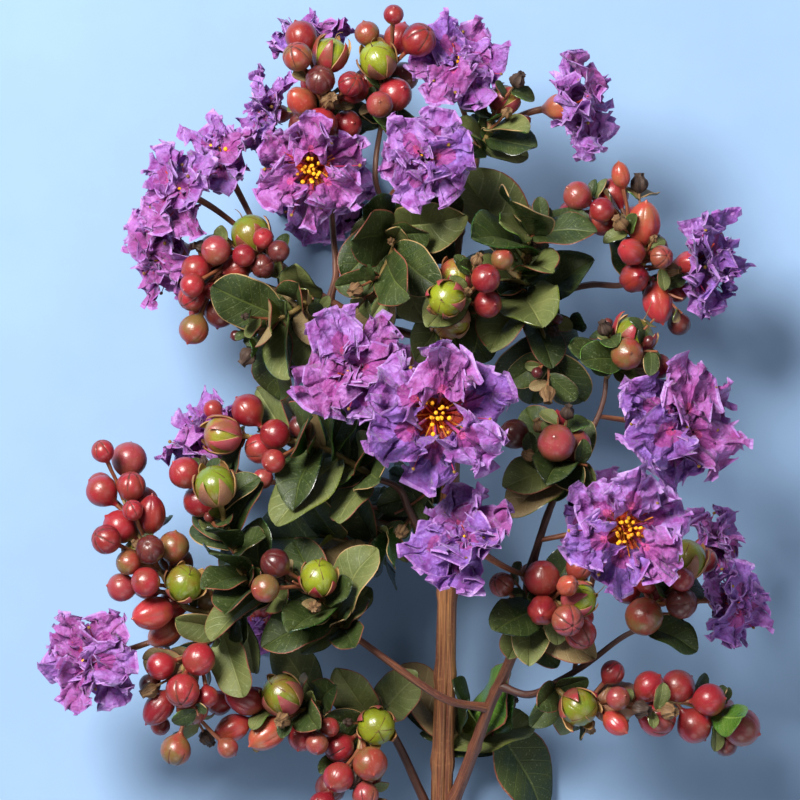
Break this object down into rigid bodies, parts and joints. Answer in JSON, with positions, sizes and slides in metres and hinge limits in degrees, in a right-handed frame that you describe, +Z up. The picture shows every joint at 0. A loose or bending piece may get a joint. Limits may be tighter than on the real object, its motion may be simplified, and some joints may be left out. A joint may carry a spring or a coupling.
{
  "type": "cut flowering branch",
  "caption": "Cut flowering branch of a shrub, lying on its back, with ruffled clawed blooms, round buds, splitting capsules and oval leaves on forking boughs.",
  "frame": {"origin": "middle of the bottom of the bounding box, on the ground that the branch lies on", "axes": "+Y runs along the stem from the cut end to the crown, +X across the branch, +Z up, which is the side that the blooms face"},
  "size_m": [0.1832, 0.217, 0.1005],
  "materials": {
    "bark": "thin smooth bark, streaked along the stem",
    "petal": "thin crinkled petals, matt",
    "foliage": "waxy leaves, buds and capsules, half gloss"
  },
  "bodies": {
    "root": {"main_stem": "bark", "right_bough": "bark", "cross_bough": "bark", "left_bough": "bark", "low_right_bough": "bark", "mid_right_bough": "bark", "mid_left_bough": "bark", "front_bough": "bark", "upper_left_bough": "bark", "upper_right_bough": "bark", "crown_left_bough": "bark", "crown_mid_bough": "bark", "bloom_heart": "petal", "bloom_right_front": "petal", "bloom_heart_left": "petal", "bloom_crown_front": "petal", "bloom_crown_middle": "petal", "bloom_low_front": "petal", "bloom_right": "petal", "bloom_crown_top": "petal", "bloom_crown_right": "petal", "bloom_far_left": "petal", "bloom_upper_right": "petal", "bloom_upper_left_low": "petal", "bloom_upper_left_mid": "petal", "bloom_upper_left_top": "petal", "bloom_left": "petal", "bloom_crown_side": "petal", "bloom_crown_left": "petal", "bloom_low_right": "petal", "bloom_low_right_back": "petal", "bloom_under_left": "petal", "bloom_under_heart": "petal", "bloom_under_crown": "petal", "bloom_under_right": "petal", "crown_left_truss": "foliage", "crown_mid_truss": "foliage", "crown_right_spray": "foliage", "upper_left_truss": "foliage", "upper_left_spray": "foliage", "crown_inner_spray": "foliage", "upper_right_spray": "foliage", "upper_right_truss": "foliage", "right_side_truss": "foliage", "right_truss": "foliage", "heart_spray": "foliage", "mid_left_truss": "foliage", "left_truss": "foliage", "left_spray": "foliage", "cross_spray": "foliage", "centre_left_spray": "foliage", "low_left_truss": "foliage", "low_left_spray": "foliage", "low_middle_truss": "foliage", "stem_spray": "foliage", "right_inner_truss": "foliage", "far_right_truss": "foliage", "low_right_truss": "foliage", "mid_right_spray": "foliage", "centre_right_spray": "foliage"}
  },
  "joints": []
}
